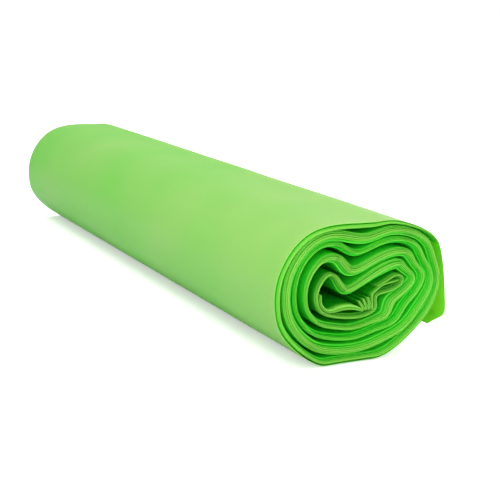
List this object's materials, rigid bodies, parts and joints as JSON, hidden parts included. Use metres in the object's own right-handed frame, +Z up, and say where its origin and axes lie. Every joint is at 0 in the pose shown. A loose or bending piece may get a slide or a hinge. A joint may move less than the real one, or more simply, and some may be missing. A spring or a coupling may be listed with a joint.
{
  "type": "bin bag roll",
  "caption": "Coreless roll of plastic bin bags on its side: a squashed spiral of folded film with a collapsed centre, rounded film lips at both ends and a loose outer flap.",
  "frame": {"origin": "bottom centre of the bounding box, on the plane the roll lies on", "axes": "+Z up, +Y along the roll away from the end that the picture shows, +X towards the loose outer flap"},
  "size_m": [0.0598, 0.28, 0.0439],
  "materials": {
    "green_film": "satin polyethylene film, light green and slightly translucent"
  },
  "bodies": {
    "root": {"film_roll": "green_film"}
  },
  "joints": []
}
